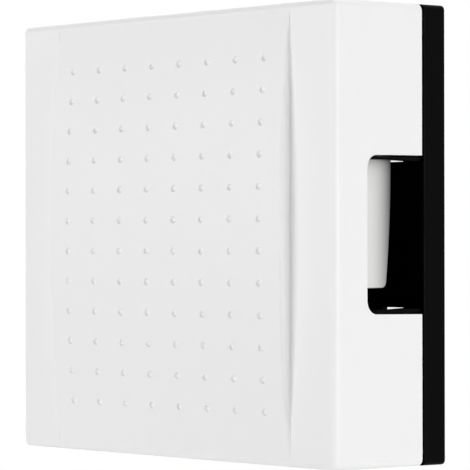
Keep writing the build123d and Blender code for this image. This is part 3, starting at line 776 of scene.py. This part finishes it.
class CHIME_OT_wind_spring(bpy.types.Operator):
    """Winds the return spring between the spring collar and the left guide bush"""

    bl_idname = "chime.wind_spring"
    bl_label = "Wind the spring"

    def execute(self, context):
        sizes = settings().spring
        radius = sizes.wire_diameter / 2
        centre, half, outer = round_room("return_spring")
        left_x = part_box("spring_collar")[1].x
        right_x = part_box("guide_bush_left")[0].x
        gap = (right_x - left_x - 2 * half) / 2
        start_x = left_x + gap + radius
        travel = right_x - left_x - 2 * (gap + radius)
        shape = bmesh.new()
        ring = bmesh.ops.create_circle(shape, cap_ends=False, segments=SPRING_SIDES, radius=radius)
        place = Matrix.Translation((start_x, centre.y + outer - radius, centre.z))
        bmesh.ops.transform(shape, matrix=place, verts=ring["verts"])
        chain = shape.verts[:] + shape.edges[:]
        stretches = [
            (1, sizes.end_pitch),
            (sizes.body_turns, travel - 2 * sizes.end_pitch),
            (1, sizes.end_pitch),
        ]
        for turns, advance in stretches:
            chain = turned(shape, chain, centre, FULL_TURN * turns, SPRING_STEPS * turns, advance)
        close_ends(shape)
        smooth_by_angle(shape, SPRING_CREASE)
        spring = finished_piece("spring_turns", shape, spring_steel(), None)
        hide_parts("return_spring")
        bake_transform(spring)
        return {"FINISHED"}


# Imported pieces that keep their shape
class CHIME_OT_dress_cover(bpy.types.Operator):
    """Gives the cover its white satin plastic"""

    bl_idname = "chime.dress_cover"
    bl_label = "Finish the cover"

    def execute(self, context):
        dress(cover_plastic, "cover")
        return {"FINISHED"}


class CHIME_OT_dress_base(bpy.types.Operator):
    """Gives the base its black plastic, and the rubber rings and wire sleeves their black rubber"""

    bl_idname = "chime.dress_base"
    bl_label = "Finish the base"

    def execute(self, context):
        dress(base_plastic, "base")
        dress(black_rubber, "cable_grommet", "plate_grommets", "lead_sleeves")
        return {"FINISHED"}


class CHIME_OT_dress_plates(bpy.types.Operator):
    """Gives the tone plates their satin steel, and the yoke and fasteners their zinc"""

    bl_idname = "chime.dress_plates"
    bl_label = "Finish the tone plates"

    def execute(self, context):
        dress(plate_steel, "tone_plate_right", "tone_plate_left")
        dress(
            zinc_steel,
            "plate_sleeves",
            "plate_washers",
            "plate_screws",
            "yoke_frame",
            "yoke_screws",
            "terminal_screws",
            "terminal_ear_screws",
        )
        return {"FINISHED"}


class CHIME_OT_dress_works(bpy.types.Operator):
    """Gives the solenoid, plunger, terminals and wires their finishes"""

    bl_idname = "chime.dress_works"
    bl_label = "Finish the works"

    def execute(self, context):
        dress(natural_nylon, "coil_bobbin", "guide_bush_left", "guide_bush_right")
        dress(ground_steel, "plunger_core", "striker_rod_left", "striker_rod_right", "collar_clip")
        dress(striker_nylon, "striker_tip_left", "striker_tip_right", "spring_collar")
        dress(block_plastic, "terminal_block")
        dress(terminal_brass, "terminal_clamps", "coil_pins")
        dress(red_vinyl, "lead_wire_front")
        dress(blue_vinyl, "lead_wire_rear")
        return {"FINISHED"}


# Stage
FLOOR_Z = -0.45
FLOOR_RADIUS = 3.0
FLOOR_SEGMENTS = 96
FLOOR_COLOR = (0.86, 0.86, 0.86, 1)
FLOOR_ROUGHNESS = 0.8
# How far out on the floor its paint starts to fade, and where it is gone
SHADOW_NEAR = 0.30
SHADOW_FAR = 0.70
CLIP_START = 0.01
# Each lamp's place, width and the setting that holds its power
LAMPS = {
    "key_lamp": ((-1.2, -1.85, 0.35), 0.9, "key_power"),
    "front_lamp": ((-0.31, -2.18, 0.25), 0.9, "front_power"),
    "side_lamp": ((1.22, 0.085, 0.03), 0.75, "side_power"),
    "rear_lamp": ((-1.1, 0.5, 0.15), 1.0, "rear_power"),
    "top_lamp": ((0.0, 0.3, 1.25), 1.0, "top_power"),
}


def background_rays(tree):
    """1 for rays that see the surroundings, straight, in metal or through glass, else 0."""
    rays = tree.nodes.new("ShaderNodeLightPath").outputs
    direct = add_math(tree, "MAXIMUM", rays["Is Camera Ray"], rays["Is Glossy Ray"])
    return add_math(tree, "MAXIMUM", direct, rays["Is Transmission Ray"])


def mix_surface(tree, share, first, second, output):
    """Sends a mix of two shaders to the surface of an output node."""
    mix = tree.nodes.new("ShaderNodeMixShader")
    tree.links.new(share, mix.inputs[0])
    tree.links.new(first.outputs[0], mix.inputs[1])
    tree.links.new(second.outputs[0], mix.inputs[2])
    tree.links.new(mix.outputs[0], tree.nodes[output].inputs["Surface"])


def light_the_room(level):
    """An even room light behind a background that looks white."""
    world = bpy.data.worlds.new("studio")
    world.use_nodes = True
    tree = world.node_tree
    even = tree.nodes["Background"]
    even.inputs["Color"].default_value = WHITE
    even.inputs["Strength"].default_value = level
    white = add_node(tree, "ShaderNodeBackground", Color=WHITE, Strength=1.0)
    mix_surface(tree, background_rays(tree), even, white, "World Output")
    bpy.context.scene.world = world


def floor_paint():
    """Pale paint under the chime, where its shadow falls, that fades to a white background."""
    material = bpy.data.materials.new("floor_paint")
    material.use_nodes = True
    tree = material.node_tree
    paint = tree.nodes["Principled BSDF"]
    paint.inputs["Base Color"].default_value = FLOOR_COLOR
    paint.inputs["Roughness"].default_value = FLOOR_ROUGHNESS
    glow = add_node(tree, "ShaderNodeEmission", Color=WHITE, Strength=1.0)
    place = object_place(tree)
    length = tree.nodes.new("ShaderNodeVectorMath")
    length.operation = "LENGTH"
    tree.links.new(place, length.inputs[0])
    fade = tree.nodes.new("ShaderNodeMapRange")
    fade.interpolation_type = "SMOOTHSTEP"
    fade.inputs["From Min"].default_value = math.hypot(SHADOW_NEAR, FLOOR_Z)
    fade.inputs["From Max"].default_value = math.hypot(SHADOW_FAR, FLOOR_Z)
    tree.links.new(length.outputs["Value"], fade.inputs["Value"])
    share = add_math(tree, "MULTIPLY", fade.outputs[0], background_rays(tree))
    mix_surface(tree, share, paint, glow, "Material Output")
    return material


def lay_floor():
    """A wide pale floor well below the chime, which hangs on a wall in use."""
    shape = bmesh.new()
    bmesh.ops.create_circle(shape, cap_ends=True, segments=FLOOR_SEGMENTS, radius=FLOOR_RADIUS)
    bmesh.ops.translate(shape, verts=shape.verts, vec=(0, 0, FLOOR_Z))
    shown_shape("floor", shape, floor_paint())


def hang_lamp(name, place, size, power):
    """A square soft lamp that points at the chime."""
    data = bpy.data.lights.new(name, "AREA")
    data.shape = "SQUARE"
    data.size = size
    data.energy = power
    lamp = new_object(name, data)
    lamp.location = place
    lamp.rotation_euler = (-Vector(place)).to_track_quat("-Z", "Y").to_euler()


def place_camera(stage):
    data = bpy.data.cameras.new("camera")
    data.lens = stage.lens
    data.clip_start = CLIP_START
    camera = new_object("camera", data)
    camera.location = stage.camera_place
    camera.rotation_euler = (math.pi / 2 + stage.camera_tilt, stage.camera_roll, stage.camera_turn)
    bpy.context.scene.camera = camera


class CHIME_OT_set_stage(bpy.types.Operator):
    """Sets the floor, the lamps, the room light and the camera"""

    bl_idname = "chime.set_stage"
    bl_label = "Set the stage"

    def execute(self, context):
        stage = settings().stage
        context.scene.view_settings.view_transform = "Standard"
        light_the_room(stage.room_light)
        lay_floor()
        for name, (place, size, power) in LAMPS.items():
            hang_lamp(name, place, size, getattr(stage, power))
        place_camera(stage)
        return {"FINISHED"}


# Panel and registration
class CHIME_PT_settings(bpy.types.Panel):
    """The chime's settings and the steps that build it"""

    bl_label = "Door chime"
    bl_space_type = "VIEW_3D"
    bl_region_type = "UI"
    bl_category = "Chime"

    def draw(self, context):
        chime = context.scene.chime
        for group in (chime.finish, chime.coil, chime.spring, chime.stage):
            for name in type(group).__annotations__:
                self.layout.prop(group, name)
        for step in STEPS:
            self.layout.operator(step.bl_idname)


GROUPS = (FinishSettings, CoilSettings, SpringSettings, StageSettings, ChimeSettings)
STEPS = (
    CHIME_OT_set_stage,
    CHIME_OT_dress_cover,
    CHIME_OT_dress_base,
    CHIME_OT_dress_plates,
    CHIME_OT_dress_works,
    CHIME_OT_wind_coil,
    CHIME_OT_lap_tape,
    CHIME_OT_wind_spring,
)
CLASSES = (*GROUPS, *STEPS, CHIME_PT_settings)


def register():
    for item in CLASSES:
        bpy.utils.register_class(item)
    bpy.types.Scene.chime = PointerProperty(type=ChimeSettings)


def unregister():
    del bpy.types.Scene.chime
    for item in reversed(CLASSES):
        bpy.utils.unregister_class(item)


def main():
    register()
    bpy.ops.chime.set_stage()
    bpy.ops.chime.dress_cover()
    bpy.ops.chime.dress_base()
    bpy.ops.chime.dress_plates()
    bpy.ops.chime.dress_works()
    bpy.ops.chime.wind_coil()
    bpy.ops.chime.lap_tape()
    bpy.ops.chime.wind_spring()


if __name__ == "__main__":
    main()
